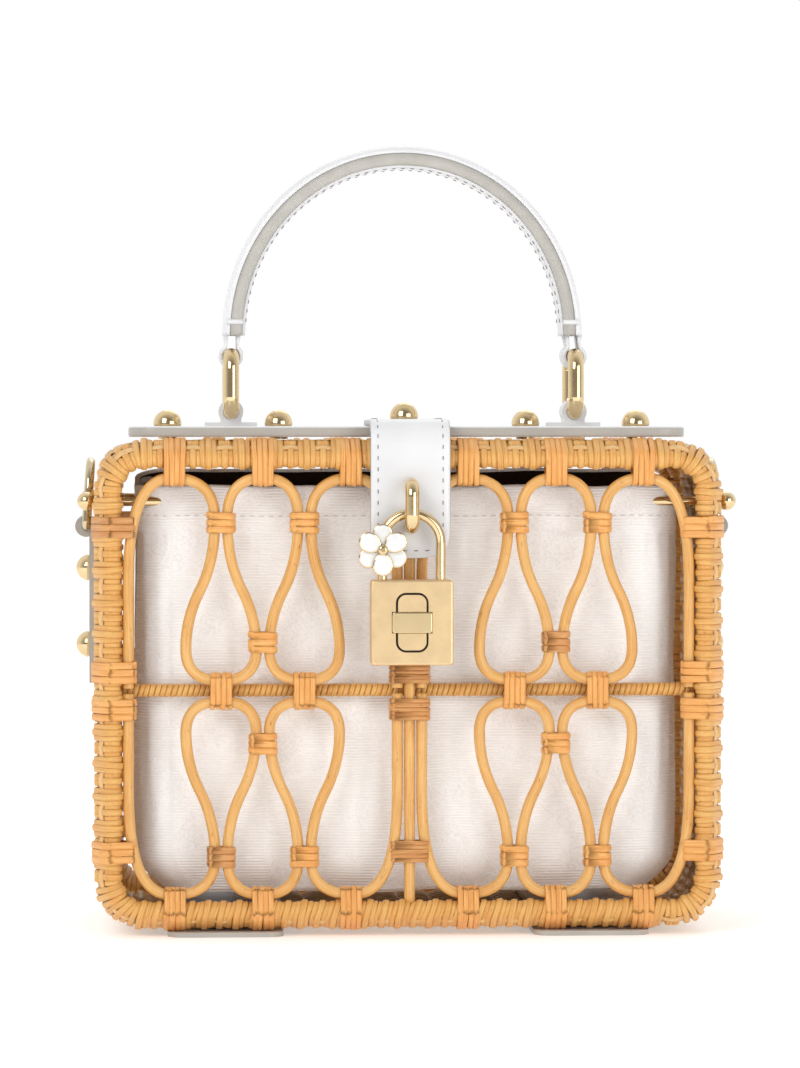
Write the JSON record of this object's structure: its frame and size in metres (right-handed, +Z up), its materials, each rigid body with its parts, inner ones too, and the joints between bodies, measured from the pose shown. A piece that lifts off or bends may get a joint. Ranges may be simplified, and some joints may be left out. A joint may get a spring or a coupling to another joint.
{
  "type": "basket box bag",
  "caption": "Small box-shaped cane basket handbag with a hinged lid, cloth pouch, leather handle and closing flap with a padlock.",
  "frame": {"origin": "middle of the bag's box on the face that it stands on", "axes": "+X to the bag's right as seen from the front, +Y to the back, +Z up; the front with the padlock faces -Y"},
  "size_m": [0.208, 0.1215, 0.2474],
  "materials": {
    "cane": "natural peeled cane, satin",
    "cane_binding": "flat cane strips, satin",
    "cane_weave": "wound flat cane, satin",
    "white_leather": "smooth white calf leather, painted edges",
    "handle_leather": "smooth white calf leather, grey painted edge, stitched",
    "polished_gold": "polished gold-coloured plating",
    "satin_gold": "satin pale gold plating",
    "pouch_cloth": "ribbed off-white jacquard cloth",
    "petal_enamel": "white enamel with gold rims",
    "steel": "nickel-plated steel"
  },
  "bodies": {
    "basket": {"back_centre_post": "cane", "back_inner_rod": "cane", "back_loop_lower_left": "cane", "back_loop_lower_right": "cane", "back_loop_upper_left": "cane", "back_loop_upper_right": "cane", "back_mid_bar": "cane", "back_outer_rod": "cane", "back_rim_weave": "cane_weave", "back_ties": "cane_binding", "base_patch_left": "white_leather", "base_patch_right": "white_leather", "floor_weave": "cane_weave", "front_bar_ties": "cane_binding", "front_centre_post": "cane", "front_inner_rod": "cane", "front_loop_lower_left": "cane", "front_loop_lower_right": "cane", "front_loop_upper_left": "cane", "front_loop_upper_right": "cane", "front_mid_bar": "cane", "front_outer_rod": "cane", "front_rim_ties": "cane_binding", "front_rim_weave": "cane_weave", "front_strand_ties": "cane_binding", "hanger_balls": "polished_gold", "hanger_rods": "polished_gold", "hinge_ties": "cane_binding", "inner_patches": "white_leather", "magnet_keeper": "steel", "pouch": "pouch_cloth", "side_edge_rods": "cane", "side_strap_left": "white_leather", "side_strap_right": "white_leather", "side_strap_studs": "polished_gold", "side_weave_left": "cane_weave", "side_weave_right": "cane_weave"},
    "lid": {"lid_frame_rod": "cane", "lid_weave": "cane_weave", "lid_panel": "white_leather", "lid_studs": "polished_gold", "handle_tab_left": "white_leather", "handle_tab_right": "white_leather", "closure_strap": "white_leather"},
    "flap": {"closure_flap": "white_leather", "flap_magnet": "steel", "staple_ring": "polished_gold"},
    "shackle": {"shackle": "polished_gold", "flower_petals": "petal_enamel", "flower_centre": "polished_gold"},
    "lock": {"lock_body": "satin_gold", "lock_plates": "polished_gold", "lock_band": "polished_gold"},
    "handle": {"handle": "handle_leather"},
    "handle_ring_left": {"handle_ring_left": "polished_gold"},
    "handle_ring_right": {"handle_ring_right": "polished_gold"},
    "side_ring_left": {"side_ring_left": "polished_gold"},
    "side_ring_right": {"side_ring_right": "polished_gold"}
  },
  "joints": [
    {"name": "lid_hinge", "type": "hinge", "parent": "basket", "child": "lid", "pos_m": [0, 0.04564, 0.152], "axis": [-1, 0, 0], "range_deg": [0, 100]},
    {"name": "flap_lift", "type": "hinge", "parent": "lid", "child": "flap", "pos_m": [0, -0.03612, 0.1606], "axis": [-1, 0, 0], "range_deg": [0, 85]},
    {"name": "padlock_swing", "type": "hinge", "parent": "flap", "child": "shackle", "pos_m": [0, -0.05362, 0.1274], "axis": [0, 1, 0], "range_deg": [-45, 45]},
    {"name": "padlock_release", "type": "slide", "parent": "shackle", "child": "lock", "axis": [0, 0, -1], "range_m": [0, 0.006]},
    {"name": "handle_swing", "type": "hinge", "parent": "lid", "child": "handle_ring_left", "pos_m": [-0.0546, 0.00126, 0.163], "axis": [0, 1, 0], "range_deg": [-50, 50]},
    {"name": "right_ring_swing", "type": "hinge", "parent": "lid", "child": "handle_ring_right", "pos_m": [0.0546, 0.00126, 0.163], "axis": [0, 1, 0], "range_deg": [-50, 50]},
    {"name": "handle_level", "type": "hinge", "parent": "handle_ring_left", "child": "handle", "pos_m": [-0.0546, 0.00126, 0.1806], "axis": [0, 1, 0], "range_deg": [-50, 50]},
    {"name": "side_ring_left_fold", "type": "hinge", "parent": "basket", "child": "side_ring_left", "pos_m": [-0.10055, 0.00737, 0.1267], "axis": [0, -1, 0], "range_deg": [0, 170]},
    {"name": "side_ring_right_fold", "type": "hinge", "parent": "basket", "child": "side_ring_right", "pos_m": [0.10055, 0.00737, 0.1267], "axis": [0, 1, 0], "range_deg": [0, 170]}
  ],
  "couplings": [
    {"joint": "right_ring_swing", "follows": "handle_swing", "ratio": 1},
    {"joint": "handle_level", "follows": "handle_swing", "ratio": -1}
  ]
}
